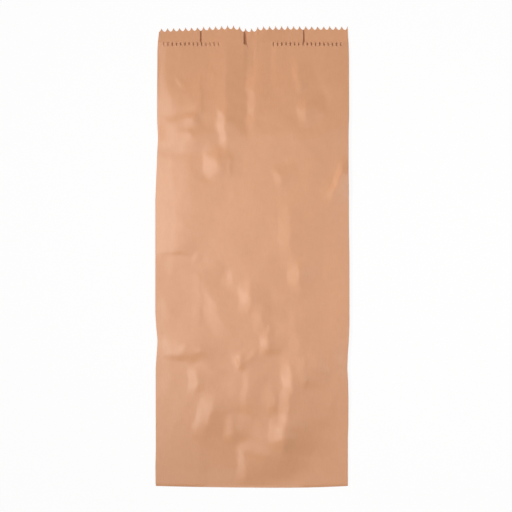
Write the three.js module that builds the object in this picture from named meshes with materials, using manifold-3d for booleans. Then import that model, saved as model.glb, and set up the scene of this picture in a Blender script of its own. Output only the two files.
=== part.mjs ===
// Paper bottle bag, empty and lying on its back: one web of kraft paper, folded into a gusseted tube, lapped
// and glued down the back, torn off against a serrated blade at the mouth, and closed by turning the tube's
// end under the back. Millimetres, +Z up. X runs across the bag, +Y to the mouth, and the back lies on Z = 0.

import * as THREE from "three";
import { mergeVertices } from "three/addons/utils/BufferGeometryUtils.js";
import Module from "manifold-3d";

// Paper
const paperThickness = 0.1;
const plyGap = 0.1; // between two plies that lie on each other, filled where they are glued

// Tube, pressed flat
const bagWidth = 155;
const bagLength = 370; // bottom fold to the highest tooth of the back
const gussetDepth = 35.5;

// Seam: the left-hand ply lies inside, on the right-hand one
const seamEdge = -7; // the inner ply's free edge
const seamLap = 14;
const seamGlueMargin = 2;
const seamRamp = 8; // over which the inner ply comes down beside the lap

// Bottom: the pressed tube is turned under the back and glued
const flapLength = 16;
const bottomGlueHeight = 9;
const glueMargin = 2.5; // from the glue to the side folds and to the torn edge
const flapRamp = 36; // over which the back comes down to the surface above the flap

// Mouth: back and gussets are torn on a toothed blade, the front lower down on a perforating wheel
const toothPitch = 4.8;
const toothDepth = 2.7;
const toothLean = 0.6; // where the dip between two tips lies, as a share of the pitch
const tearSkew = 0.04; // slope of the left-hand ply's torn edge
const tearStep = 2; // drop of the right-hand ply's torn edge at the seam
const tearStepReach = 11;
const lipDrop = 13.4; // front edge below the highest tooth
const nickPitch = 3.3;
const nickWidth = 1.1;
const nickDepth = 2.1;
const cleanTearStart = -28; // between these the front edge has torn clean
const cleanTearEnd = 17;
const notchX = -1; // where the clean tear dips beside the seam
const notchDepth = 7.8;
const notchBreadth = 7; // on each side

// How the empty bag lies: a slack pillow, flat at the bottom, with the seam's edge lifting at the mouth
const edgeRise = 1.8; // of the front's side folds above the back's
const crownRise = 4; // of the front's middle above its side folds
const pillowStart = 14;
const pillowFull = 84;
const mouthClosing = 0.25; // share of the crown's rise that is lost at the mouth
const mouthClosingLength = 90;
const seamLift = 1.3;
const seamLiftLength = 24;
const mouthDrawIn = 0.8; // each side
const drawInStart = 170;
const pinchHeight = 281; // where the left side was pinched
const pinchNip = 1.4;
const pinchReach = 26;

// A crease across the front, where the bag was once bent, nips both sides
const creaseHeight = 107; // at the middle of the bag
const creaseSlope = -0.077;
const creaseHalfWidth = 4.5;
const creaseRamp = 4.5;
const creaseDepth = 0.9;
const creaseNip = 0.9;

// Folds that handling left in the front, each along a line: from and to, how far it stands out, and the width
// of its flanks to the left and the right of that direction
const handlingFolds = [
  { from: [-20.9, 284], to: [-20.9, 352], rise: 0.8, left: 14, right: 16 },
  { from: [-5, 286], to: [-5, 334], rise: -0.7, left: 15.5, right: 6.5 },
  { from: [43.5, 292], to: [41.5, 309], rise: 1, left: 7, right: 16 },
  { from: [-50, 271], to: [-49, 297], rise: 1.2, left: 25, right: 30 },
  { from: [-24, 254], to: [-27, 266], rise: 1, left: 11, right: 16 },
  { from: [31, 184], to: [29, 224], rise: 0.9, left: 9, right: 26 },
  { from: [39, 160], to: [36, 179], rise: 1.5, left: 9, right: 18 },
  { from: [-19, 122], to: [-36, 160], rise: 0.9, left: 10, right: 18 },
  { from: [-2.5, 140], to: [-1.5, 161], rise: 1.2, left: 7.5, right: 16 },
  { from: [12.5, 108], to: [11, 121], rise: 1.4, left: 7, right: 20 },
  { from: [37, 111], to: [35, 130], rise: 1.3, left: 17, right: 20 },
  { from: [54, 86], to: [55, 121], rise: 1.9, left: 28, right: 21 },
  { from: [32.5, 76], to: [30, 98], rise: 1.8, left: 8.5, right: 24 },
  { from: [25.5, 37], to: [26, 60], rise: 2.1, left: 12.5, right: 34 },
  { from: [-38, 45], to: [-29, 72], rise: 1.3, left: 11, right: 20 },
  { from: [-44, 79], to: [-44.5, 94], rise: 0.9, left: 7, right: 16 },
];
const foldEndShare = 0.4; // of a fold's length, over which it runs out at each end

// Mesh density, in strips
const backStrips = 4;
const frontStrips = 25;
const turnSteps = 5;
const toothCurveSteps = 3;
const rowSpacing = 12;
const creaseRowSpacing = 4.6;

const { lerp, smoothstep } = THREE.MathUtils;

const halfWidth = bagWidth / 2;
const plyPitch = paperThickness + plyGap;
const stackHeight = 3 * plyPitch; // back to front where the tube is pressed flat, centre to centre
const foldRadius = plyPitch / 2;
const seamOuterEdge = seamEdge - seamLap;

// The bottom fold turns the whole stack about an axis just outside the back
const turnInnerRadius = plyPitch / 2;
const turnOuterRadius = turnInnerRadius + stackHeight + paperThickness / 2;
const turnLength = Math.PI * turnInnerRadius;
const backAboveFlap = turnOuterRadius + turnInnerRadius;
const backOnSurface = paperThickness / 2;

const bladeMargin = 1; // of the blades beyond the paper that they tear off
const tearAllowance = toothDepth + 1; // paper beyond each torn edge before it is torn

function creaseDistance(x, y) {
  return Math.abs(y - creaseHeight - creaseSlope * x);
}

function creaseShare(x, y) {
  return 1 - smoothstep(creaseDistance(x, y), creaseHalfWidth, creaseHalfWidth + creaseRamp);
}

function openness(y) {
  return smoothstep(y, pillowStart, pillowFull);
}

function frontEdgeHeight(y) {
  return stackHeight + openness(y) * edgeRise;
}

function crownHeight(y) {
  return crownRise * (1 - mouthClosing * smoothstep(y, bagLength - mouthClosingLength, bagLength));
}

function foldHeight(fold, x, y) {
  const from = new THREE.Vector2(...fold.from);
  const way = new THREE.Vector2(...fold.to).sub(from);
  const length = way.length();
  const place = new THREE.Vector2(x, y).sub(from);
  const along = place.dot(way) / length;
  const across = way.cross(place) / length;
  const flank = Math.max(1 - Math.abs(across) / (across > 0 ? fold.left : fold.right), 0);
  const end = Math.min(foldEndShare * length, (fold.left + fold.right) / 2);
  return fold.rise * flank * smoothstep(along, -end, end) * smoothstep(length - along, -end, end);
}

function frontHeight(x, y) {
  const across = 1 - (x / halfWidth) ** 2;
  const crown = across * openness(y) * (crownHeight(y) - creaseDepth * creaseShare(x, y));
  const folds = handlingFolds.reduce((sum, fold) => sum + foldHeight(fold, x, y), 0);
  return frontEdgeHeight(y) + crown + folds;
}

// The left-hand back ply climbs onto the right-hand one at the lap, and its free edge lifts at the mouth.
function seamPlyHeight(x, y) {
  const climb = plyPitch * smoothstep(x, seamOuterEdge - seamRamp, seamOuterEdge);
  const lift = smoothstep(x, seamOuterEdge, seamEdge) * smoothstep(y, bagLength - seamLiftLength, bagLength);
  return climb + seamLift * lift;
}

function ply(fromX, toX, strips, heightAt) {
  const points = [];
  for (let i = 0; i <= strips; i++) {
    const share = i / strips;
    const x = lerp(fromX, toX, share);
    points.push(new THREE.Vector2(x, heightAt(x, share)));
  }
  return points;
}

function straight(fromHeight, toHeight) {
  return (x, share) => lerp(fromHeight, toHeight, share);
}

// The paper's middle line across the bag, from the seam's inner edge round to its outer edge.
function sectionLine(y) {
  const frontEdge = frontEdgeHeight(y);
  const gussetMiddle = frontEdge / 2;
  const outer = halfWidth - foldRadius;
  const inner = halfWidth - gussetDepth;
  const lowerGusset = straight(plyPitch, gussetMiddle - foldRadius);
  const upperGusset = straight(gussetMiddle + foldRadius, frontEdge - plyPitch);
  const back = () => 0;
  const left = [
    ...ply(seamEdge, -outer, backStrips, (x) => seamPlyHeight(x, y)),
    new THREE.Vector2(-halfWidth, foldRadius),
    ...ply(-outer, -inner - foldRadius, 1, lowerGusset),
    new THREE.Vector2(-inner, gussetMiddle),
    ...ply(-inner - foldRadius, -outer, 1, upperGusset),
    new THREE.Vector2(-halfWidth, frontEdge - foldRadius),
  ];
  const right = [
    new THREE.Vector2(halfWidth, frontEdge - foldRadius),
    ...ply(outer, inner + foldRadius, 1, straight(frontEdge - plyPitch, gussetMiddle + foldRadius)),
    new THREE.Vector2(inner, gussetMiddle),
    ...ply(inner + foldRadius, outer, 1, straight(gussetMiddle - foldRadius, plyPitch)),
    new THREE.Vector2(halfWidth, foldRadius),
    ...ply(outer, seamOuterEdge, backStrips, back),
  ];
  return [...left, ...ply(-outer, outer, frontStrips, (x) => frontHeight(x, y)), ...right];
}

// One face of the paper: the middle line moved sideways, mitred at each corner.
function offsetLine(line, distance) {
  return line.map((point, i) => {
    const before = line[Math.max(i - 1, 0)];
    const after = line[Math.min(i + 1, line.length - 1)];
    const arriving = point.clone().sub(before).normalize();
    const leaving = after.clone().sub(point).normalize();
    const along = arriving.clone().add(leaving).normalize();
    const unit = arriving.lengthSq() > 0 ? arriving : leaving;
    const normal = new THREE.Vector2(-along.y, along.x);
    return point.clone().addScaledVector(normal, distance / along.dot(unit));
  });
}

function sideDrawIn(x, y) {
  const atMouth = mouthDrawIn * smoothstep(y, drawInStart, bagLength);
  const atCrease = creaseNip * creaseShare(x, y);
  const atPinch = x < 0 ? pinchNip * (1 - smoothstep(Math.abs(y - pinchHeight), 0, pinchReach)) : 0;
  return (atMouth + atCrease + atPinch) * (x / halfWidth);
}

// Lays a point of the pressed tube in place: along the back from the bottom fold where the distance is
// positive, and round that fold and up the flap where it is negative.
function lay(x, distance, height) {
  if (distance >= 0) {
    const y = turnOuterRadius + distance;
    const down = smoothstep(y, flapLength, flapLength + flapRamp);
    return new THREE.Vector3(x - sideDrawIn(x, y), y, lerp(backAboveFlap, backOnSurface, down) + height);
  }
  const angle = Math.PI * Math.min(-distance / turnLength, 1);
  const upFlap = Math.max(-distance - turnLength, 0);
  const radius = turnInnerRadius + height;
  const y = turnOuterRadius - radius * Math.sin(angle) + upFlap;
  return new THREE.Vector3(x, y, turnOuterRadius + radius * Math.cos(angle));
}

function spaced(from, to, spacing) {
  const steps = Math.max(Math.round((to - from) / spacing), 1);
  return Array.from({ length: steps }, (_, i) => lerp(from, to, i / steps));
}

// Rows of the web along the back, closer where the crease and the bottom fold need them.
function rowDistances() {
  const flapEnd = -turnLength - flapLength + turnOuterRadius - tearAllowance;
  const creaseReach = creaseHalfWidth + creaseRamp + Math.abs(creaseSlope) * halfWidth;
  const mouth = bagLength + tearAllowance - turnOuterRadius;
  return [
    flapEnd,
    ...spaced(-turnLength, 0, turnLength / turnSteps),
    ...spaced(0, pillowStart, pillowStart),
    ...spaced(pillowStart, creaseHeight - creaseReach, rowSpacing),
    ...spaced(creaseHeight - creaseReach, creaseHeight + creaseReach, creaseRowSpacing),
    ...spaced(creaseHeight + creaseReach, bagLength - seamLiftLength, rowSpacing),
    ...spaced(bagLength - seamLiftLength, mouth, seamLiftLength / 2),
    mouth,
  ];
}

// Carries a unit slab, whose vertices stand on whole rows and columns, to the places given for them.
function slabThrough(columns, rows, place) {
  const geometry = new THREE.BoxGeometry(1, 1, 1, columns, rows, 1);
  const positions = geometry.attributes.position;
  for (let i = 0; i < positions.count; i++) {
    const column = Math.round((positions.getX(i) + 0.5) * columns);
    const row = Math.round((positions.getY(i) + 0.5) * rows);
    const to = place(column, row, positions.getZ(i) > 0);
    positions.setXYZ(i, to.x, to.y, to.z);
  }
  return geometry;
}

function foldedWeb() {
  const distances = rowDistances();
  const faces = distances.map((distance) => {
    const line = sectionLine(Math.max(turnOuterRadius + distance, 0));
    return { outside: offsetLine(line, paperThickness / 2), inside: offsetLine(line, -paperThickness / 2) };
  });
  const columns = faces[0].outside.length - 1;
  return slabThrough(columns, distances.length - 1, (column, row, isOutside) => {
    const face = isOutside ? faces[row].outside : faces[row].inside;
    return lay(face[column].x, distances[row], face[column].y);
  });
}

// Glue fills the gap between two plies, into the middle of each.
function glueLayer(fromX, toX, fromDistance, toDistance, height) {
  const between = rowDistances().filter((distance) => distance > fromDistance && distance < toDistance);
  const distances = [fromDistance, ...between, toDistance];
  return slabThrough(1, distances.length - 1, (column, row, isTop) =>
    lay(column ? toX : fromX, distances[row], isTop ? height : 0),
  );
}

function seamGlue() {
  const end = bagLength - seamLiftLength - turnOuterRadius;
  return glueLayer(seamOuterEdge + seamGlueMargin, seamEdge - seamGlueMargin, 0, end, plyPitch);
}

function bottomGlue() {
  const side = halfWidth - glueMargin;
  const start = -turnLength - flapLength + turnOuterRadius + toothDepth + glueMargin;
  return glueLayer(-side, side, start, bottomGlueHeight, stackHeight);
}

function flapGlue() {
  const width = bagWidth - 2 * glueMargin;
  const length = flapLength - toothDepth - 2 * glueMargin;
  const glue = new THREE.BoxGeometry(width, length, plyPitch);
  glue.translate(0, glueMargin + length / 2, turnOuterRadius);
  return glue;
}

// Prism over everything on the far side of an edge that runs across the bag.
function prismBeyond(edge, farY, lowZ, highZ) {
  edge.lineTo(halfWidth + toothPitch, farY);
  edge.lineTo(-halfWidth - toothPitch, farY);
  const prism = new THREE.ExtrudeGeometry(edge, {
    depth: highZ - lowZ,
    bevelEnabled: false,
    curveSegments: toothCurveSteps,
  });
  prism.translate(0, 0, lowZ);
  return prism;
}

// Edge torn on the toothed blade: sharp tips with a round dip between each two.
function toothedEdge(tipHeightAt) {
  const edge = new THREE.Shape();
  const start = -halfWidth - toothPitch;
  const teeth = Math.ceil((2 * halfWidth + 2 * toothPitch) / toothPitch);
  edge.moveTo(start, tipHeightAt(start));
  for (let i = 0; i < teeth; i++) {
    const x = start + i * toothPitch;
    const next = Math.min(x + toothPitch, halfWidth + toothPitch);
    const dip = Math.min(tipHeightAt(x), tipHeightAt(next)) - 2 * toothDepth;
    edge.quadraticCurveTo(lerp(x, next, toothLean), dip, next, tipHeightAt(next));
  }
  return edge;
}

function tearHeight(x) {
  if (x < seamEdge) return bagLength - tearSkew * (seamEdge - x);
  return bagLength - tearStep * Math.exp((seamEdge - x) / tearStepReach);
}

function nicks(edge, fromX, toX, height) {
  for (let x = fromX; x < toX; x += nickPitch) {
    edge.lineTo(x - nickWidth / 2, height);
    edge.lineTo(x, height - nickDepth);
    edge.lineTo(x + nickWidth / 2, height);
  }
}

// Front edge: torn along perforations, which leave a slit nick at each pitch, but clean in the middle, where
// it dips beside the seam.
function frontEdge() {
  const edge = new THREE.Shape();
  const height = bagLength - lipDrop;
  edge.moveTo(-halfWidth - toothPitch, height);
  nicks(edge, -halfWidth + nickPitch, cleanTearStart, height);
  edge.lineTo(cleanTearStart, height);
  edge.quadraticCurveTo(notchX - notchBreadth, height, notchX, height - notchDepth);
  edge.quadraticCurveTo(notchX + notchBreadth, height, cleanTearEnd, height);
  nicks(edge, cleanTearEnd + nickPitch / 2, halfWidth - nickPitch / 2, height);
  edge.lineTo(halfWidth + toothPitch, height);
  return edge;
}

const wasm = await Module();
wasm.setup();

function solidFrom(geometry) {
  const bare = geometry.index ? geometry.clone() : geometry;
  bare.deleteAttribute("normal");
  bare.deleteAttribute("uv");
  const merged = mergeVertices(bare, plyGap / 100);
  const mesh = new wasm.Mesh({
    numProp: 3,
    vertProperties: new Float32Array(merged.attributes.position.array),
    triVerts: new Uint32Array(merged.index.array),
  });
  return new wasm.Manifold(mesh);
}

function geometryFrom(solid) {
  const mesh = solid.getMesh();
  const geometry = new THREE.BufferGeometry();
  geometry.setAttribute("position", new THREE.BufferAttribute(new Float32Array(mesh.vertProperties), 3));
  geometry.setIndex(new THREE.BufferAttribute(new Uint32Array(mesh.triVerts), 1));
  return geometry;
}

function bagGeometry() {
  const beyondTear = tearAllowance + bladeMargin;
  const top = 2 * (backAboveFlap + stackHeight + edgeRise + crownRise);
  const underFront = backOnSurface + frontEdgeHeight(bagLength) - paperThickness / 2 - plyGap / 4;
  const flapEdge = toothedEdge(() => flapLength);
  const mouthBlade = prismBeyond(toothedEdge(tearHeight), bagLength + beyondTear, -bladeMargin, top);
  const frontBlade = prismBeyond(frontEdge(), bagLength + beyondTear, underFront, top);
  const flapBlade = prismBeyond(flapEdge, flapLength + beyondTear, -bladeMargin, turnOuterRadius);
  const bag = solidFrom(foldedWeb())
    .add(solidFrom(seamGlue()))
    .add(solidFrom(bottomGlue()))
    .add(solidFrom(flapGlue()))
    .subtract(solidFrom(mouthBlade))
    .subtract(solidFrom(frontBlade))
    .subtract(solidFrom(flapBlade));
  return geometryFrom(bag).translate(0, -bagLength / 2, 0);
}

const kraftPaper = new THREE.MeshStandardMaterial({ color: "#d7a381", roughness: 0.6, metalness: 0 });

const bag = new THREE.Mesh(bagGeometry(), kraftPaper);
bag.name = "bag";

const bottleBag = new THREE.Group();
bottleBag.add(bag);

export default bottleBag;
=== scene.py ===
"""Paper bottle bag, empty and lying on its back on a pale floor.

One web of kraft paper is folded into a gusseted tube, turned under at the bottom, torn at the mouth
and creased by handling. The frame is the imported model's: X across the bag, +Y to the mouth, +Z up.
"""

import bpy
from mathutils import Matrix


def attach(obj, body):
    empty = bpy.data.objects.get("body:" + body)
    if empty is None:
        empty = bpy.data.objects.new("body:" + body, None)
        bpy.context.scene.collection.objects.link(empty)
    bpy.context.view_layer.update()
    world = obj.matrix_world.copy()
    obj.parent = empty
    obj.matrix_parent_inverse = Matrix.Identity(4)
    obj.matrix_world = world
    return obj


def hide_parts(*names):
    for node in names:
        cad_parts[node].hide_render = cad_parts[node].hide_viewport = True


bl_info = {
    "name": "Paper Bottle Bag",
    "version": (1, 0, 0),
    "blender": (4, 5, 0),
    "location": "View3D > Sidebar > Bottle Bag",
    "description": "Folds a kraft paper bottle bag from a flat web and lays it under studio light",
    "category": "Object",
}

import math
from typing import NamedTuple

import bmesh
import bpy
import numpy as np
from bpy.props import FloatProperty, FloatVectorProperty, PointerProperty
from mathutils import Vector

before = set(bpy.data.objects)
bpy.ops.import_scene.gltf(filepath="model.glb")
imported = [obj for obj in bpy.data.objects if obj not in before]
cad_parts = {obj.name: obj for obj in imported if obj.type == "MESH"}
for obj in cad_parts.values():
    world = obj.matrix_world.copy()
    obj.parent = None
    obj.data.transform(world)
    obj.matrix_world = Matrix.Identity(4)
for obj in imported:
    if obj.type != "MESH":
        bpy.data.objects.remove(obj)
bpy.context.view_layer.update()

MM = 0.001


def linear(hex_colour):
    """Linear RGBA of an sRGB colour written as #RRGGBB."""
    parts = [int(hex_colour[i : i + 2], 16) / 255 for i in (1, 3, 5)]
    return tuple(c / 12.92 if c <= 0.04045 else ((c + 0.055) / 1.055) ** 2.4 for c in parts) + (1.0,)


def length(name, default_mm, description):
    """Property for a length, with its default in millimetres."""
    return FloatProperty(
        name=name,
        description=description,
        default=default_mm * MM,
        precision=5,
        subtype="DISTANCE",
        unit="LENGTH",
    )


def colour(name, default, description):
    """Property for a colour, with its default as #RRGGBB."""
    return FloatVectorProperty(
        name=name,
        description=description,
        default=linear(default),
        size=4,
        min=0,
        max=1,
        subtype="COLOR",
    )


def power(name, default, description):
    """Property for the power of a lamp."""
    return FloatProperty(
        name=name,
        description=description,
        default=default,
        min=0,
        subtype="POWER",
        unit="POWER",
    )


class BottleBagSizes(bpy.types.PropertyGroup):
    """Sizes of the bag and of the way it lies."""

    width: length("Width", 155, "Across the tube, pressed flat")
    tall: length("Length", 370, "Bottom fold to the highest tooth of the back")
    gusset: length("Gusset depth", 35.5, "How far each side folds in")
    paper: length("Paper thickness", 0.1, "Thickness of the kraft paper")
    gap: length("Ply gap", 0.1, "Between two plies that lie on each other")
    seam_edge: length("Seam edge", -7, "Free edge of the inner ply of the back seam, from the middle")
    seam_lap: length("Seam lap", 14, "Overlap of the two plies of the back seam")
    flap: length("Bottom flap", 16, "Length of the glued flap under the bottom")
    flap_ramp: length("Flap ramp", 45, "Over which the back comes down to the floor above the flap")
    bottom_bow: length("Bottom bow", 1.4, "How far the bottom corners stand back from the middle")
    tooth_pitch: length("Tooth pitch", 4.8, "Spacing of the teeth of the torn mouth")
    tooth_depth: length("Tooth depth", 3.3, "Depth of the teeth of the torn mouth")
    lip_drop: length("Lip drop", 13.7, "Front edge below the highest tooth of the back")
    nick_depth: length("Nick depth", 3.2, "Depth of the perforation nicks in the front edge")
    edge_rise: length("Edge rise", 1.8, "Side folds of the front above those of the back")
    crown_rise: length("Crown rise", 4.0, "Middle of the front above its side folds")
    crumple: length("Crumple", 0.8, "Height of the fine crumple that handling leaves")


class BottleBagColours(bpy.types.PropertyGroup):
    """Colours of the paper and of the stage."""

    paper: colour("Kraft", "#D79D77", "Kraft paper, machine glazed")
    paper_pale: colour("Pale fibre", "#E6B18B", "Thin places and pale fibres in the paper")
    paper_dark: colour("Dark fibre", "#B97F58", "Thick places and dark fibres in the paper")
    floor: colour("Floor", "#F4F3F1", "Matt floor under the bag")


class BottleBagLight(bpy.types.PropertyGroup):
    """Strength of the studio light."""

    key: power("Key", 325, "Soft lamp far out on the left")
    near: power("Near overhead", 0.82, "Panel of the bank above the bag, on the key side")
    middle: power("Middle overhead", 0.595, "Panel of the bank straight above the bag")
    far: power("Far overhead", 0.38, "Panel of the bank above the bag, away from the key")
    left: power("Left", 2.13, "Soft box high on the left, which the creases that face it reflect")
    right: power("Right", 0.9, "Soft box high on the right, which the steeper right-hand folds reflect")
    fill: FloatProperty(name="Fill", description="Even light from all round", default=0.15, min=0)


def smoothstep(low, high, value):
    share = np.clip((value - low) / (high - low), 0, 1)
    return share * share * (3 - 2 * share)


def share_at(place, table):
    """Reads a table of places in millimetres and plain values, at places in metres."""
    return np.interp(place / MM, *np.transpose(table))


def line_at(place, line):
    """Reads a line given in millimetres at places in metres."""
    return share_at(place, line) * MM


# The web


class Panel(NamedTuple):
    """A strip of the web between two folds, by the places across the bag where it starts and ends."""

    start: float
    end: float
    level: int  # plies below it where the tube is pressed flat


# Panels by their order across the web
LEFT_BACK = 0
LOWER_GUSSETS = (1, 5)
UPPER_GUSSETS = (2, 4)
FRONT = 3
RIGHT_BACK = 6

FRONT_LEVEL = 3  # plies below the front

FRONT_STRIPS = 138
NICK_STRIPS = 3  # strips of the front from one perforation nick to the next
COLUMN_CLEARANCE = 1 / 6  # of the tooth pitch, which a tooth's column keeps from a fold
ROW_SPACING = 1.85 * MM
TURN_ROWS = 5  # rows that the bottom fold spreads round its turn
FLAP_ROWS = 4
BAND_BELOW_LIP = 2.2  # nick depths from the lip down to the next row
BAND_ABOVE_LIP = 0.3  # share of the lip's drop from the lip up to the next row
TOOTH_CUTS = 7
NICK_CUTS = 3
SEAM_CLIMB = 8 * MM  # over which one ply of the back seam climbs on to the other


class Web:
    """Columns and rows of the flat web, and where each goes when the tube is folded."""

    def __init__(self, sizes):
        self.half = sizes.width / 2
        self.pitch = sizes.paper + sizes.gap
        self.outer = self.half - self.pitch / 2
        self.inner = self.half - sizes.gusset + self.pitch / 2
        self.lip = sizes.tall - sizes.lip_drop
        self.panels = (
            Panel(sizes.seam_edge, -self.outer, 0),
            Panel(-self.outer, -self.inner, 1),
            Panel(-self.inner, -self.outer, 2),
            Panel(-self.outer, self.outer, FRONT_LEVEL),
            Panel(self.outer, self.inner, 2),
            Panel(self.inner, self.outer, 1),
            Panel(self.outer, sizes.seam_edge - sizes.seam_lap, 0),
        )
        self._set_columns(sizes)
        self._set_rows(sizes)
        # Column and row of each point of the grid
        self.column = np.tile(np.arange(len(self.flat)), len(self.rows))
        self.row = np.repeat(np.arange(len(self.rows)), len(self.flat))

    def _stops(self, panel, sizes):
        """Places of a panel's columns across the bag, in the order in which the web runs."""
        if panel.level == FRONT_LEVEL:
            return np.linspace(panel.start, panel.end, FRONT_STRIPS + 1)
        low, high = sorted((panel.start, panel.end))
        tips = np.arange(-self.half, self.half, sizes.tooth_pitch)
        clear = COLUMN_CLEARANCE * sizes.tooth_pitch
        stops = [low, *tips[(tips > low + clear) & (tips < high - clear)], high]
        if panel.level == 0:
            stops = sorted({*stops, *(stop * MM for stop in HUMP_STOPS if low < stop * MM < high)})
        stops = np.array(stops)
        return stops if panel.start < panel.end else stops[::-1]

    def _set_columns(self, sizes):
        """Columns of all the panels, and one more between each two, the nose of their fold."""
        flat, level, panel_of, noses = [], [], [], []
        run = 0.0
        for i, panel in enumerate(self.panels):
            stops = self._stops(panel, sizes)
            if i:
                noses.append(len(flat))
                flat.append(run)
                level.append((panel.level + self.panels[i - 1].level) / 2)
                panel_of.append(-1)  # on no panel
            flat.extend(run + np.abs(stops - stops[0]))
            level.extend([panel.level] * len(stops))
            panel_of.extend([i] * len(stops))
            run += abs(panel.end - panel.start)
        self.level = np.array(level, float)
        self.panel_of = np.array(panel_of)
        self.flat = np.array(flat) - np.array(flat)[self.panel_of == FRONT].mean()
        self.noses = noses

    def _set_rows(self, sizes):
        """Rows from the edge of the flap, round the bottom fold and up to the mouth."""
        self.turn_inner = self.pitch / 2
        self.turn_outer = self.turn_inner + FRONT_LEVEL * self.pitch + sizes.paper / 2
        self.back_above_flap = self.turn_outer + self.turn_inner
        flap_edge = 2 * self.turn_outer - sizes.flap
        flap_rows = np.linspace(flap_edge, self.turn_outer, FLAP_ROWS, endpoint=False)
        turn_rows = [self.turn_outer] * (TURN_ROWS - 1)
        below_lip = self.lip - BAND_BELOW_LIP * sizes.nick_depth
        body_count = round((below_lip - self.turn_outer) / ROW_SPACING)
        body_rows = np.linspace(self.turn_outer, below_lip, body_count)
        above_lip = self.lip + BAND_ABOVE_LIP * sizes.lip_drop
        self.rows = np.array([*flap_rows, *turn_rows, *body_rows, self.lip, above_lip, sizes.tall])
        self.first_body = FLAP_ROWS + TURN_ROWS - 1
        self.mouth_row = len(self.rows) - 1
        self.lip_row = self.mouth_row - 2


def read_points(piece):
    places = np.empty(3 * len(piece.data.vertices), np.float32)
    piece.data.vertices.foreach_get("co", places)
    return places.reshape(-1, 3).astype(float)


def write_points(piece, places):
    piece.data.vertices.foreach_set("co", places.astype(np.float32).ravel())
    piece.data.update()


def edit(piece, mode):
    """Opens the piece in edit mode with nothing selected, picking points, edges or faces."""
    bpy.ops.object.select_all(action="DESELECT")
    piece.select_set(True)
    bpy.context.view_layer.objects.active = piece
    bpy.ops.object.mode_set(mode="EDIT")
    bpy.ops.mesh.select_mode(type=mode)
    bpy.ops.mesh.select_all(action="DESELECT")


def select(piece, parts, chosen):
    """Selects those of the open mesh's verts, edges or faces for which chosen says so."""
    mesh = bmesh.from_edit_mesh(piece.data)
    for part, wanted in zip(getattr(mesh, parts), chosen):
        part.select_set(bool(wanted))
    mesh.select_flush_mode()
    bmesh.update_edit_mesh(piece.data)


def turn(piece, chosen, angle, axis, centre):
    """Turns the chosen points of the open mesh about a centre."""
    bpy.ops.mesh.select_all(action="DESELECT")
    select(piece, "verts", chosen)
    # Without a window the operator turns the other way
    bpy.ops.transform.rotate(value=-angle, orient_axis=axis, orient_type="GLOBAL", center_override=centre)


def cut_web(web):
    """The flat web as a grid, with its columns and rows at the folds and teeth to come."""
    bpy.ops.object.select_all(action="DESELECT")
    columns, rows = len(web.flat), len(web.rows)
    bpy.ops.mesh.primitive_grid_add(x_subdivisions=columns - 1, y_subdivisions=rows - 1, size=1)
    piece = bpy.context.object
    piece.name = piece.data.name = "folded_bag"
    heights = np.full(columns * rows, FRONT_LEVEL * web.pitch)
    write_points(piece, np.column_stack((web.flat[web.column], web.rows[web.row], heights)))
    return piece


def fold_tube(piece, web):
    """Folds the web at three places on each side: under the front, out again and under the gusset."""
    edit(piece, "VERT")
    left = [nose for nose in web.noses if web.flat[nose] < 0][::-1]
    right = [nose for nose in web.noses if web.flat[nose] > 0]
    for noses, side in ((left, -1), (right, 1)):
        for i, nose in enumerate(noses):
            # The second fold lies inside the gusset, and folds the other way
            fold_x = side * (web.inner if i == 1 else web.outer)
            quarter = side * (-1) ** i * math.pi / 2
            centre = (fold_x, 0, web.level[nose] * web.pitch)
            beyond = web.column < nose if side < 0 else web.column > nose
            turn(piece, beyond | (web.column == nose), quarter, "Y", centre)
            turn(piece, beyond, quarter, "Y", centre)
    bpy.ops.object.mode_set(mode="OBJECT")


def lap_seam(piece, web, sizes):
    """Lays the left-hand back ply on the right-hand one where they are glued."""
    places = read_points(piece)
    left_back = web.panel_of[web.column] == LEFT_BACK
    climb_end = sizes.seam_edge - sizes.seam_lap
    climb = web.pitch * smoothstep(climb_end - SEAM_CLIMB, climb_end, places[:, 0])
    places[left_back, 2] += climb[left_back]
    write_points(piece, places)


def turn_bottom(piece, web):
    """Turns the end of the pressed tube under the back, an eighth of a turn at a time."""
    edit(piece, "VERT")
    steps = TURN_ROWS - 1
    centre = (0, web.turn_outer, -web.turn_inner)
    for step in range(steps):
        turn(piece, web.row < web.first_body - step, math.pi / steps, "X", centre)
    bpy.ops.object.mode_set(mode="OBJECT")


# How the empty bag lies


class Crease(NamedTuple):
    """A worn crease of the front, in millimetres from the middle of the bottom fold."""

    start: tuple
    end: tuple
    rise: float  # negative for a valley
    left: float  # width of its flank on the left hand, going from start to end
    right: float


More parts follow.
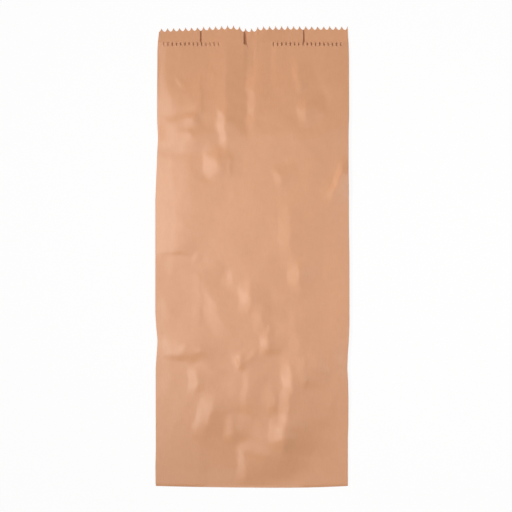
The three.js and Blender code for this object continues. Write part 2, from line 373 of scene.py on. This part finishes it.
CREASES = (
    # By the mouth, over the seam
    Crease((-20.9, 284), (-20.9, 352), 0.8, 14, 16),
    Crease((-5.0, 286), (-5.0, 334), -0.95, 15.5, 6.5),
    Crease((-54.5, 320), (-60.5, 327), 0.35, 2.5, 4),
    Crease((37.4, 322.8), (34.8, 340.2), 0.5, 4, 12),
    Crease((39.5, 317), (38.5, 324), 0.45, 4, 6),
    Crease((43.5, 292), (41.5, 309), 1.0, 7, 16),
    Crease((-1.6, 282.7), (76.5, 286.7), 0.25, 12, 16),
    Crease((60, 304), (58, 318), -0.5, 14, 14),
    # Upper left, where the bag was pinched
    Crease((-49, 272), (-48.5, 288), 1.6, 26, 20),
    Crease((-46, 290), (-47, 298), 0.9, 28, 6),
    Crease((-46, 292), (-46, 318), 0.7, 28, 16),
    Crease((-68, 272), (-68, 292), 0.25, 12, 14),
    Crease((-75.2, 270), (-34, 271), -0.3, 6, 6),
    Crease((-21, 273), (-22, 297), 0.8, 5.5, 18),
    Crease((-39.5, 250), (-39, 267), -0.25, 10, 6),
    Crease((-25, 248), (-27, 267), 1.35, 12, 18),
    Crease((-41, 248), (-20, 246), -0.6, 8, 6),
    Crease((-18.7, 250.6), (-16.6, 262.7), 0.25, 2, 3),
    Crease((-50, 226), (-49, 262), 0.8, 26, 30),
    Crease((-54, 195), (-56, 218), 0.75, 24, 24),
    Crease((-61.5, 197), (-61.5, 230), 0.4, 12, 10),
    Crease((-76, 190), (-49, 189), 0.9, 14, 4),
    # Middle
    Crease((23, 243), (19.8, 253.6), 0.6, 5, 16),
    Crease((31, 184), (29, 224), 0.9, 9, 26),
    Crease((65, 236), (74, 258), 1.3, 4.5, 24),
    Crease((65, 226), (64, 244), 0.5, 10, 12),
    Crease((-47.6, 181.9), (-41.2, 187.2), 0.35, 2.5, 4),
    Crease((-25, 158), (-22, 178), -0.8, 14, 20),
    Crease((-34.2, 182.5), (-22, 175), 0.4, 3.5, 8),
    Crease((-15, 161), (-16.9, 173.8), 0.3, 4, 8),
    Crease((39, 160), (36, 179), 1.5, 9, 18),
    Crease((20, 156), (40, 153), 0.5, 8, 12),
    Crease((-19, 122), (-36, 160), 0.75, 10, 18),
    Crease((-2.5, 140), (-1.5, 161), 1.2, 9, 16),
    Crease((9.5, 127), (7, 146), 1.0, 8, 20),
    # Where the bag was once bent across
    Crease((12.8, 108.5), (11.6, 122.5), 1.4, 7, 16),
    Crease((37.5, 108), (34.5, 134), 1.0, 17, 20),
    Crease((-4.5, 102), (3.6, 110), 0.6, 2.6, 12),
    Crease((-10.5, 97), (-9, 105), 0.5, 2.6, 5),
    Crease((11.5, 124), (14.5, 129), 0.45, 2.4, 5),
    Crease((-7.5, 96), (-8.5, 107), 0.8, 8, 12),
    Crease((-76, 117.7), (-31, 110.2), 0.5, 6, 14),
    Crease((-46, 104.5), (-45, 122), 1.05, 26, 26),
    Crease((-84, 107.5), (-52, 106), 0.5, 9, 4),
    Crease((-44, 108), (-41, 112.5), 0.35, 2.5, 8),
    Crease((-57, 111), (-53.5, 115), 0.3, 2.5, 8),
    Crease((-37.7, 98.1), (-22.5, 90.9), 0.5, 4, 8),
    Crease((53, 88), (54, 116), 1.2, 28, 22),
    Crease((66, 95), (77, 94), -0.2, 4, 3),
    Crease((41.5, 82), (42, 106), 0.25, 7, 2.5),
    # Lower half, where the pillow closes
    Crease((-44, 79), (-44.5, 94), 0.9, 7, 16),
    Crease((32.5, 76), (30, 98), 1.9, 8.5, 30),
    Crease((28, 54), (30.5, 76), 1.9, 8, 36),
    Crease((25.5, 33), (26, 54), 2.5, 12.5, 40),
    Crease((19, 62), (16, 80), 0.9, 9, 14),
    Crease((-4.5, 66), (-2.8, 92), 0.6, 5, 14),
    Crease((-38, 45), (-29, 72), 1.3, 11, 20),
    Crease((-15, 39), (-16, 55), 1.25, 7.5, 16),
    Crease((-6, 20), (-9, 34), 0.6, 6, 12),
    Crease((-1, 27), (34, 23), 2.7, 42, 16),
    Crease((-4.5, 5), (-4.5, 20), 0.95, 8, 30),
    # Inner folds of the left gusset, showing through
    Crease((-41.5, 130.2), (-42, 170.4), 0.15, 6, 1.8),
    Crease((-41.2, 296.9), (-41.2, 326), 0.2, 6, 1.8),
)

CREASE_ROUNDING = 0.06  # share of a flank that rounds off the top
CREASE_FOOT = 1.06  # above 1 the flanks run out gently
CREASE_FADE = 0.4  # a crease fades over no more than this share of its run, to each side of its end
WANDER = 0.5 * MM  # height of each of the two waves in which a crease strays to the sides
WANDER_UP = 0.4  # share of that for the two in which it strays up and down the bag
WANDER_LENGTH = 5 * MM  # of the longest wave, for each radian
WANDER_WAVES = (2.3, 1.7, 2.9)  # how much shorter the other three are, so that none keep step

# How far each side stands in from the widest place, in millimetres, by height above the bottom fold
LEFT_DRAW_IN = (
    (0, 0.4), (3, 0.1), (16, 0), (28, 0.3), (96, 0.3), (107, 1.1), (113, 1.5), (118, 1.75), (129, 0.7),
    (140, 0), (230, 0), (262, 1.3), (280, 2.1), (292, 1.5), (308, 1.4), (343, 1.6), (355, 1.6), (358, 2.4),
    (370, 2.9),
)
RIGHT_DRAW_IN = (
    (0, 1.2), (40, 1.2), (50, 0.8), (73, 0.8), (85, 1.1), (95, 1.7), (107, 1.3), (118, 0.5), (130, 0),
    (185, 0), (208, 0.4), (240, 0.4), (253, 0.65), (286, 0.65), (298, 0.25), (343, 0.3), (355, 0.5),
    (358, 0.9), (370, 1.4),
)
DRAW_IN_POWER = 4  # the higher, the closer to its edges the bag is drawn in

BOTTOM_LOWEST = 25 * MM  # where across the bag the bowed bottom fold reaches furthest down
BOW_REACH = 60 * MM  # height at which the bow has run out

# The back's humps at the mouth, in millimetres: place across the bag and height. The left-hand ply ends at
# the seam, and the right-hand one comes out of a groove beside it and drops again at the right gusset.
LEFT_HUMP = (
    (-43.5, 0), (-42.2, 0.5), (-40.9, 0), (-40.7, 1.8), (-37.5, 1.9), (-18, 2.5), (-12, 2.6), (-7, 2.6),
)
RIGHT_HUMP = (
    (-9, 1.3), (-7.2, 0.9), (-4.6, 0.5), (-4.4, 2.45), (-2, 2.4), (1, 2.4), (3, 2.7), (8, 2.6), (15, 2.25),
    (24, 1.7), (40.6, 1.5), (40.8, 0.4), (42, 0),
)
HUMP_TOP = LEFT_HUMP[3:] + RIGHT_HUMP[4:-2]  # the same without the grooves, which the front spans
# Columns of the back at the corners of the humps
HUMP_STOPS = (-42.2, -40.9, -40.7, -37.5, -9, -7.2, -4.6, -4.4, -2, 1, 3, 8, 15, 24, 40.6, 40.8, 42)
HUMP_START = 48 * MM  # below the highest tooth, where the humps begin
HUMP_FULL = 21 * MM
HUMP_LOSS = 0.4  # share of the humps' height that is lost from the lip up to the teeth

PILLOW_START = 8 * MM
PILLOW_FULL = 84 * MM
MOUTH_PRESS = 0.5  # share of the edges' rise that is lost towards the mouth
MOUTH_PRESS_REACH = 90 * MM
GUSSET_LIFT = 0.6 * MM  # of the gussets' inner folds at the mouth
GUSSET_PLIES = 2
SAG_START = 2 * MM  # how far outside the gussets' inner folds the pressed front starts to sink
SAG_FULL = 10 * MM  # how far inside them it lies on the back
LIP_REACH = 50 * MM  # over which the front comes to its height at the lip
NOTCH_REACH = 40 * MM  # over which the paper follows the line of the lip
# Share of the crown's rise by height above the bottom fold, in millimetres
CROWN_SHARE = ((60, 0.8), (115, 0.72), (170, 0.75), (205, 1), (280, 1), (330, 0.8), (370, 0.5))
# Power of the crown's curve across the bag, by the same height: 2 is a parabola, and a lower one is less
# steep at the sides
CROWN_POWER = ((165, 1.5), (210, 2))


def crease_relief(x, y):
    """Height that the creases add to the front, all lengths in metres."""
    total = np.zeros_like(x)
    u, v = x / WANDER_LENGTH, y / WANDER_LENGTH
    second, third, fourth = WANDER_WAVES
    x = x + WANDER * (np.sin(v) + np.sin(second * v + u))
    y = y + WANDER_UP * WANDER * (np.sin(third * u) + np.sin(fourth * u - v))
    for crease in CREASES:
        x0, y0, x1, y1 = (c * MM for c in (*crease.start, *crease.end))
        run = math.hypot(x1 - x0, y1 - y0)
        along = ((x - x0) * (x1 - x0) + (y - y0) * (y1 - y0)) / run
        across = ((y - y0) * (x1 - x0) - (x - x0) * (y1 - y0)) / run
        width = np.where(across > 0, crease.left, crease.right) * MM
        steep = np.clip(1 + CREASE_ROUNDING - np.hypot(across / width, CREASE_ROUNDING), 0, 1)
        flank = steep**CREASE_FOOT
        fade = min(CREASE_FADE * run, (crease.left + crease.right) / 2 * MM)
        ends = smoothstep(-fade, fade, along) * smoothstep(-fade, fade, run - along)
        total += crease.rise * MM * flank * ends
    return total


def lay_down(piece, web, sizes):
    """Lets the folded tube go slack on the floor, as a low pillow that is flat at the bottom."""
    places = read_points(piece)
    x, y = places[:, 0].copy(), places[:, 1].copy()
    panel = web.panel_of[web.column]

    # Side folds of the front, and the gussets under them
    opened = smoothstep(PILLOW_START, PILLOW_FULL, y)
    pressed = MOUTH_PRESS * smoothstep(sizes.tall - MOUTH_PRESS_REACH, sizes.tall, y)
    front_edge = FRONT_LEVEL * web.pitch + opened * sizes.edge_rise * (1 - pressed)
    near_mouth = smoothstep(sizes.tall - HUMP_START, sizes.tall - HUMP_FULL, y)
    gusset_middle = front_edge / 2 + GUSSET_LIFT * near_mouth
    inwards = np.clip((web.outer - np.abs(x)) / (web.outer - web.inner), 0, 1)
    lower = web.pitch + inwards * (gusset_middle - web.pitch / 2 - web.pitch)
    upper = front_edge - web.pitch + inwards * (gusset_middle + web.pitch / 2 - front_edge + web.pitch)

    hump_share = near_mouth * (1 - HUMP_LOSS * smoothstep(web.lip, sizes.tall, y))
    left_hump = line_at(x, LEFT_HUMP) * hump_share
    right_hump = line_at(x, RIGHT_HUMP) * hump_share

    # The front, which lies on what is under it
    bulge = 1 - np.abs(x / web.half) ** share_at(y, CROWN_POWER)
    crown = sizes.crown_rise * share_at(y, CROWN_SHARE) * bulge
    between_gussets = 1 - smoothstep(web.inner - SAG_FULL, web.inner + SAG_START, np.abs(x))
    sag = GUSSET_PLIES * web.pitch * between_gussets * (1 - opened)
    front = front_edge + opened * crown - sag
    near_lip = smoothstep(web.lip - LIP_REACH, web.lip, y)
    front += near_lip * (line_at(x, LIP_RISE) - front) + crease_relief(x, y)
    lapped = np.where(x < sizes.seam_edge, web.pitch / 2, 0)
    spanned = line_at(x, HUMP_TOP) * near_mouth + lapped
    front = np.maximum(front, np.where(np.abs(x) > web.inner, upper, spanned) + web.pitch)

    heights = np.zeros_like(x)
    plies = (
        (LEFT_BACK, places[:, 2] + left_hump),
        (RIGHT_BACK, right_hump),
        (LOWER_GUSSETS, lower),
        (UPPER_GUSSETS, upper),
        (FRONT, front),
    )
    for panels, ply in plies:
        here = np.isin(panel, panels)
        heights[here] = ply[here]
    for nose in web.noses:
        at = np.flatnonzero(web.column == nose)
        heights[at] = (heights[at - 1] + heights[at + 1]) / 2

    down = smoothstep(sizes.flap, sizes.flap + sizes.flap_ramp, y)
    base = web.back_above_flap + down * (sizes.paper / 2 - web.back_above_flap)
    body = web.row >= web.first_body
    places[:, 2] = np.where(body, heights + base, places[:, 2] + web.back_above_flap)

    # Outline of the sides, the bottom fold and the lip
    draw_in = np.where(x < 0, line_at(y, LEFT_DRAW_IN), line_at(y, RIGHT_DRAW_IN))
    places[:, 0] = x - np.sign(x) * draw_in * (x / web.half) ** DRAW_IN_POWER
    off = np.where(
        x < BOTTOM_LOWEST,
        (BOTTOM_LOWEST - x) / (web.half + BOTTOM_LOWEST),
        (x - BOTTOM_LOWEST) / (web.half - BOTTOM_LOWEST),
    )
    bow = sizes.bottom_bow * off**2 * (1 - smoothstep(0, BOW_REACH, y))
    notch = line_at(x, LIP_LINE) * smoothstep(web.lip - NOTCH_REACH, web.lip, y) * (panel == FRONT)
    places[:, 1] = y + bow - notch
    write_points(piece, places)


# The torn edges

# Torn line of the mouth across the bag: place from the middle, drop below the highest tip, in millimetres
TEAR_LINE = (
    (-77.5, 2.3), (-45, 1.2), (-17, 0), (-12, 0.5), (-7, 2.1), (0, 2.4), (5, 1.1), (10, 0.6), (30, 0.3),
    (77.5, 0.6),
)
# The same for the front's lip, below its own edge: it dips in a round notch by the seam
LIP_LINE = (
    (-28, 0), (-20, 0.4), (-9, 1.6), (-4.1, 2.2), (-3.3, 5.6), (-0.6, 7.6), (1.5, 7), (3.5, 3.4), (6, 0.5),
    (17, 0),
)
# Height of the front at its lip: it lies on the back where it has torn clean and stands off it elsewhere
LIP_RISE = (
    (-77.5, 1.6), (-70, 2.2), (-58, 2.6), (-28, 2.6), (-18, 2.85), (-7, 2.95), (-4.4, 2.6), (-2, 2.6),
    (1, 2.6), (8, 2.85), (15, 2.8), (19, 3.2), (42, 3.2), (58, 2.8), (70, 2.2), (77.5, 1.6),
)
TOOTH_LEAN = 0.6  # where the dip between two tips lies, as a share of the pitch
TOOTH_HOLLOW = 0.8  # below 1 the dips are wide and the tips sharp
CLEAN_TEAR = (-26.5 * MM, 16.5 * MM)  # between these the front edge has torn clean
CLEAN_SIDES = 1.5  # spacings of the nicks that are left out at each side fold
NICK_HALF_WIDTH = 0.56 * MM
NICK_SQUARENESS = 6  # the higher, the squarer the nick's foot
GRID_NAMES = ("column", "row")  # attributes that hold each point's place in the web


def tooth_drop(x, web, sizes):
    """How far below the tips the toothed edge lies: sharp tips with a round dip between each two."""
    share = np.mod((x + web.half) / sizes.tooth_pitch, 1)
    # The dip is a curve that leans to one side, and t is the place along it
    bend = 2 * TOOTH_LEAN - 1
    t = (TOOTH_LEAN - np.sqrt(TOOTH_LEAN**2 - bend * share)) / bend
    return sizes.tooth_depth * (4 * t * (1 - t)) ** TOOTH_HOLLOW


def nick_drop(x, web, sizes):
    """How far the nicks of the perforation go down from the lip."""
    pitch = 2 * web.outer / FRONT_STRIPS * NICK_STRIPS
    off = np.abs(np.mod((x + web.outer) / pitch + 0.5, 1) - 0.5) * pitch
    depth = sizes.nick_depth * np.clip(1 - (off / NICK_HALF_WIDTH) ** NICK_SQUARENESS, 0, 1)
    clean = (x > CLEAN_TEAR[0]) & (x < CLEAN_TEAR[1]) | (np.abs(x) > web.outer - CLEAN_SIDES * pitch)
    return np.where(clean, 0, depth)


def subdivide_edges(piece, chosen, cuts):
    """Cuts the chosen edges; returns the indices of the points on them, old and new."""
    edit(piece, "EDGE")
    select(piece, "edges", chosen)
    bpy.ops.mesh.subdivide(number_cuts=cuts, ngon=True)
    mesh = bmesh.from_edit_mesh(piece.data)
    picked = np.array([point.index for point in mesh.verts if point.select])
    bpy.ops.object.mode_set(mode="OBJECT")
    return picked


def open_front(piece, web):
    """Takes away the front above its torn lip; the points keep their column and row as attributes."""
    for name, values in zip(GRID_NAMES, (web.column, web.row)):
        layer = piece.data.attributes.new(name, "INT", "POINT")
        layer.data.foreach_set("value", values.astype(np.int32))
    first, last = np.flatnonzero(web.panel_of == FRONT)[[0, -1]]
    edit(piece, "FACE")
    mesh = bmesh.from_edit_mesh(piece.data)
    chosen = []
    for face in mesh.faces:
        corners = [point.index for point in face.verts]
        column = web.column[corners]
        above = web.row[corners].min() >= web.lip_row
        chosen.append(above and column.min() >= first - 1 and column.max() <= last + 1)
    select(piece, "faces", chosen)
    bpy.ops.mesh.delete(type="FACE")
    bpy.ops.object.mode_set(mode="OBJECT")


def read_grid(piece):
    """Column and row of each point, old and new."""
    stored = []
    for name in GRID_NAMES:
        values = np.empty(len(piece.data.vertices), np.int32)
        piece.data.attributes[name].data.foreach_get("value", values)
        stored.append(values)
    return stored


def edges_along(piece, web, wanted_row, is_front):
    """Says of each edge whether it lies along a row, on the front or off it."""
    column, row = read_grid(piece)
    ends = np.empty(2 * len(piece.data.edges), np.int32)
    piece.data.edges.foreach_get("vertices", ends)
    ends = ends.reshape(-1, 2)
    on_row = (row[ends] == wanted_row).all(1)
    on_front = (web.panel_of[column[ends]] == FRONT).all(1)
    return on_row & (on_front == is_front)


def tear_edges(piece, web, sizes):
    """Tears the mouth on its toothed blade, the lip along its perforations and the flap as the mouth."""
    open_front(piece, web)
    flap_front = subdivide_edges(piece, edges_along(piece, web, 0, True), 1)
    flap_rest = subdivide_edges(piece, edges_along(piece, web, 0, False), TOOTH_CUTS)
    mouth = subdivide_edges(piece, edges_along(piece, web, web.mouth_row, False), TOOTH_CUTS)
    lip = subdivide_edges(piece, edges_along(piece, web, web.lip_row, True), NICK_CUTS)
    places = read_points(piece)
    x = places[:, 0]
    flap = np.unique(np.concatenate((flap_front, flap_rest)))
    places[flap, 1] -= tooth_drop(x[flap], web, sizes)
    places[mouth, 1] -= tooth_drop(x[mouth], web, sizes) + line_at(x[mouth], TEAR_LINE)
    places[lip, 1] -= nick_drop(x[lip], web, sizes)
    write_points(piece, places)


# Finishing

# Kind of noise, its size and its share of the height
CRUMPLES = (("CLOUDS", 26 * MM, 1.0), ("VORONOI", 24 * MM, 0.5))
CRUMPLE_SIDE = 14 * MM  # over which it comes in from each side fold
CRUMPLE_BOTTOM = (14 * MM, 60 * MM)  # heights between which it comes in above the bottom fold
CRUMPLE_LIP = (30 * MM, 6 * MM)  # distances below the lip between which most of it goes out
LIP_CALM = 0.8  # share that goes out there
SMOOTH_ANGLE = math.radians(40)


def crumple_front(piece, web, sizes):
    """Fine crumple of the front, which fades to the side folds, the bottom and the lip."""
    places = read_points(piece)
    column, row = read_grid(piece)
    on_front = (web.panel_of[column] == FRONT) & (row >= web.first_body)
    weight = smoothstep(web.half, web.half - CRUMPLE_SIDE, np.abs(places[:, 0]))
    weight *= smoothstep(*CRUMPLE_BOTTOM, places[:, 1])
    below_lip = web.lip - np.array(CRUMPLE_LIP)
    weight *= 1 - LIP_CALM * smoothstep(*below_lip, places[:, 1])
    group = piece.vertex_groups.new(name="front")
    for index in np.flatnonzero(on_front):
        group.add([int(index)], float(weight[index]), "REPLACE")
    for kind, size, share in CRUMPLES:
        noise = bpy.data.textures.new("crumple", kind)
        noise.noise_scale = size
        crumple = piece.modifiers.new("crumple", "DISPLACE")
        crumple.texture = noise
        crumple.texture_coords = "LOCAL"
        crumple.direction = "Z"
        crumple.mid_level = 0.5
        crumple.strength = share * sizes.crumple
        crumple.vertex_group = "front"
        bpy.ops.object.modifier_apply(modifier="crumple")
    piece.vertex_groups.clear()


def thicken(piece, sizes):
    """Gives the sheet the thickness of the paper, and shades it smooth but for its sharp edges."""
    wall = piece.modifiers.new("paper", "SOLIDIFY")
    wall.thickness = sizes.paper
    wall.offset = 0
    bpy.ops.object.modifier_apply(modifier="paper")
    bpy.ops.object.shade_smooth_by_angle(angle=SMOOTH_ANGLE)


# The paper


def add_node(tree, kind, inputs=None, **settings):
    """Adds a node with its settings; each input is a value, or another node's output to link."""
    node = tree.nodes.new(kind)
    for name, value in settings.items():
        setattr(node, name, value)
    for socket, value in (inputs or {}).items():
        if isinstance(value, bpy.types.NodeSocket):
            tree.links.new(value, node.inputs[socket])
        else:
            node.inputs[socket].default_value = value
    return node


def per_length(size):
    """Noise scale at which one feature is about this many metres across."""
    return 1 / size


FIBRE_CLOUD = 5 * MM
FIBRE_WIDTH = 0.8 * MM
FIBRE_RATE = 0.12  # how fast the pattern changes along the web, against across it
FIBRE_RELIEF = 0.1 * MM
GLAZE_ROUGHNESS = 0.21
MIXED_COLOUR = 2  # index of the Mix node's colour output; it has one for each kind of value


def kraft_paper(colours):
    """Machine-glazed brown kraft: a warm tan, cloudy with fibre, with faint streaks and a soft sheen."""
    material = bpy.data.materials.new("machine_glazed_kraft_paper")
    material.use_nodes = True
    tree = material.node_tree
    shader = tree.nodes["Principled BSDF"]
    coords = add_node(tree, "ShaderNodeTexCoord").outputs["Object"]
    # Fibre clouds about 5 mm across, which the eye sees as a soft mottle
    clouds = add_node(
        tree,
        "ShaderNodeTexNoise",
        {"Vector": coords, "Scale": per_length(FIBRE_CLOUD), "Detail": 3, "Roughness": 0.6},
    )
    # Fibres lie along the web: 0.03 mm wide on the real sheet, drawn 0.8 mm wide so that they show
    along_web = add_node(tree, "ShaderNodeMapping", {"Vector": coords, "Scale": (1, FIBRE_RATE, 1)})
    fibres = add_node(
        tree,
        "ShaderNodeTexNoise",
        {"Vector": along_web.outputs["Vector"], "Scale": per_length(FIBRE_WIDTH), "Detail": 2},
    )
    cloud_tone = add_node(
        tree,
        "ShaderNodeMapRange",
        {"Value": clouds.outputs["Fac"], "From Min": 0.3, "From Max": 0.7, "To Min": 0.0, "To Max": 0.12},
    )
    pale = add_node(
        tree,
        "ShaderNodeMix",
        {"Factor": cloud_tone.outputs["Result"], "A": colours.paper, "B": colours.paper_pale},
        data_type="RGBA",
    )
    fibre_tone = add_node(
        tree,
        "ShaderNodeMapRange",
        {"Value": fibres.outputs["Fac"], "From Min": 0.4, "From Max": 0.8, "To Min": 0.0, "To Max": 0.1},
    )
    tone = add_node(
        tree,
        "ShaderNodeMix",
        {"Factor": fibre_tone.outputs["Result"], "A": pale.outputs[MIXED_COLOUR], "B": colours.paper_dark},
        data_type="RGBA",
    )
    grain = add_node(
        tree,
        "ShaderNodeBump",
        {"Height": fibres.outputs["Fac"], "Strength": 0.12, "Distance": FIBRE_RELIEF},
    )
    tree.links.new(tone.outputs[MIXED_COLOUR], shader.inputs["Base Color"])
    tree.links.new(grain.outputs["Normal"], shader.inputs["Normal"])
    shader.inputs["Roughness"].default_value = GLAZE_ROUGHNESS
    return material


class BOTTLEBAG_OT_fold_bag(bpy.types.Operator):
    """Folds, laps, tears and creases the bag from one flat web of paper"""

    bl_idname = "bottle_bag.fold_bag"
    bl_label = "Fold Bag"

    def execute(self, context):
        sizes = context.scene.bottle_bag_sizes
        web = Web(sizes)
        bag = cut_web(web)
        fold_tube(bag, web)
        lap_seam(bag, web, sizes)
        turn_bottom(bag, web)
        lay_down(bag, web, sizes)
        tear_edges(bag, web, sizes)
        crumple_front(bag, web, sizes)
        # So far Y is the height above the bottom fold; the frame's origin is half way up
        write_points(bag, read_points(bag) - (0, sizes.tall / 2, 0))
        thicken(bag, sizes)
        for name in GRID_NAMES:
            bag.data.attributes.remove(bag.data.attributes[name])
        bag.data.materials.append(kraft_paper(context.scene.bottle_bag_colours))
        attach(bag, "root")
        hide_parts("bag")
        return {"FINISHED"}


# The stage

FLOOR_SIDE = 40.0  # so wide that the floor fills every view
FLOOR_WHITE = 0.92  # share of the floor's look that is plain white; the rest keeps the shadow
KEY_PLACE = (-1.5, 0.42, 1.6)
KEY_AIM = (0.18, 0.014, 0)
KEY_CONE = math.radians(21)
KEY_RADIUS = 0.4
BANK_PANEL = (0.267, 0.68)
SOFT_BOXES = {
    # Name of its power: place, then size along X and Y
    "near": ((-0.267, -0.08, 1.1), BANK_PANEL),
    "middle": ((0.0, -0.08, 1.1), BANK_PANEL),
    "far": ((0.267, -0.08, 1.1), BANK_PANEL),
    "left": ((-0.445, -0.09, 1.0), (0.19, 0.94)),
    "right": ((0.52, -0.05, 1.0), (0.2, 0.5)),
}
CAMERA_PLACE = (0.0029, 0.0004, 0.9678)
CAMERA_LENS = 85  # millimetres, like the sensor's width
SENSOR_WIDTH = 36


def floor_paint(colours):
    """Matt white floor, which the camera sees nearly white and with a faint shadow."""
    material = bpy.data.materials.new("matt_white_floor")
    material.use_nodes = True
    tree = material.node_tree
    shader = tree.nodes["Principled BSDF"]
    shader.inputs["Base Color"].default_value = colours.floor
    shader.inputs["Roughness"].default_value = 1.0
    shader.inputs["Specular IOR Level"].default_value = 0.0
    rays = add_node(tree, "ShaderNodeLightPath")
    mirrored = add_node(
        tree,
        "ShaderNodeMath",
        {0: rays.outputs["Is Glossy Ray"], 1: rays.outputs["Is Transmission Ray"]},
        operation="MAXIMUM",
    )
    seen = add_node(
        tree,
        "ShaderNodeMath",
        {0: rays.outputs["Is Camera Ray"], 1: mirrored.outputs[0]},
        operation="MAXIMUM",
    )
    white = add_node(tree, "ShaderNodeEmission", {"Strength": 1.0})
    share = add_node(tree, "ShaderNodeMath", {0: seen.outputs[0], 1: FLOOR_WHITE}, operation="MULTIPLY")
    mixed = add_node(
        tree,
        "ShaderNodeMixShader",
        {0: share.outputs[0], 1: shader.outputs["BSDF"], 2: white.outputs["Emission"]},
    )
    tree.links.new(mixed.outputs["Shader"], tree.nodes["Material Output"].inputs["Surface"])
    return material


class BOTTLEBAG_OT_set_stage(bpy.types.Operator):
    """Adds the floor, the studio light and the camera that looks straight down"""

    bl_idname = "bottle_bag.set_stage"
    bl_label = "Set Stage"

    def execute(self, context):
        scene = context.scene
        light = scene.bottle_bag_light
        bpy.ops.object.select_all(action="DESELECT")
        bpy.ops.mesh.primitive_plane_add(size=FLOOR_SIDE)
        floor = context.object
        floor.name = "floor"
        floor.data.materials.append(floor_paint(scene.bottle_bag_colours))

        bpy.ops.object.light_add(type="SPOT", location=KEY_PLACE)
        key = context.object
        key.name = "key_lamp"
        key.data.energy = light.key
        key.data.spot_size = KEY_CONE
        key.data.spot_blend = 1
        key.data.shadow_soft_size = KEY_RADIUS
        key.visible_glossy = False  # so that the paper's sheen comes from the soft boxes alone
        key.rotation_euler = (Vector(KEY_PLACE) - Vector(KEY_AIM)).to_track_quat("Z", "Y").to_euler()

        for name, (place, (wide, deep)) in SOFT_BOXES.items():
            bpy.ops.object.light_add(type="AREA", location=place)
            box = context.object
            box.name = name + "_soft_box"
            box.data.shape = "RECTANGLE"
            box.data.size = wide
            box.data.size_y = deep
            box.data.energy = getattr(light, name)

        world = bpy.data.worlds.new("studio")
        world.use_nodes = True
        scene.world = world
        backdrop = world.node_tree.nodes["Background"]
        backdrop.inputs["Color"].default_value = (1, 1, 1, 1)
        backdrop.inputs["Strength"].default_value = light.fill

        bpy.ops.object.camera_add(location=CAMERA_PLACE, rotation=(0, 0, 0))
        camera = context.object
        camera.name = "camera"
        camera.data.lens = CAMERA_LENS
        camera.data.sensor_width = SENSOR_WIDTH
        scene.camera = camera
        scene.view_settings.view_transform = "Standard"
        return {"FINISHED"}


# The add-on


class VIEW3D_PT_bottle_bag(bpy.types.Panel):
    """Sizes, colours, light and tools of the bottle bag"""

    bl_label = "Bottle Bag"
    bl_space_type = "VIEW_3D"
    bl_region_type = "UI"
    bl_category = "Bottle Bag"

    def draw(self, context):
        for group in SETTINGS:
            settings = getattr(context.scene, group)
            box = self.layout.box()
            for name in settings.__annotations__:
                box.prop(settings, name)
        for operator in OPERATORS:
            self.layout.operator(operator.bl_idname)


SETTINGS = {
    "bottle_bag_sizes": BottleBagSizes,
    "bottle_bag_colours": BottleBagColours,
    "bottle_bag_light": BottleBagLight,
}
OPERATORS = (BOTTLEBAG_OT_fold_bag, BOTTLEBAG_OT_set_stage)
CLASSES = (*SETTINGS.values(), *OPERATORS, VIEW3D_PT_bottle_bag)


def register():
    for cls in CLASSES:
        bpy.utils.register_class(cls)
    for name, group in SETTINGS.items():
        setattr(bpy.types.Scene, name, PointerProperty(type=group))


def unregister():
    for name in SETTINGS:
        delattr(bpy.types.Scene, name)
    for cls in reversed(CLASSES):
        bpy.utils.unregister_class(cls)


def main():
    register()
    bpy.ops.bottle_bag.fold_bag()
    bpy.ops.bottle_bag.set_stage()


if __name__ == "__main__":
    main()
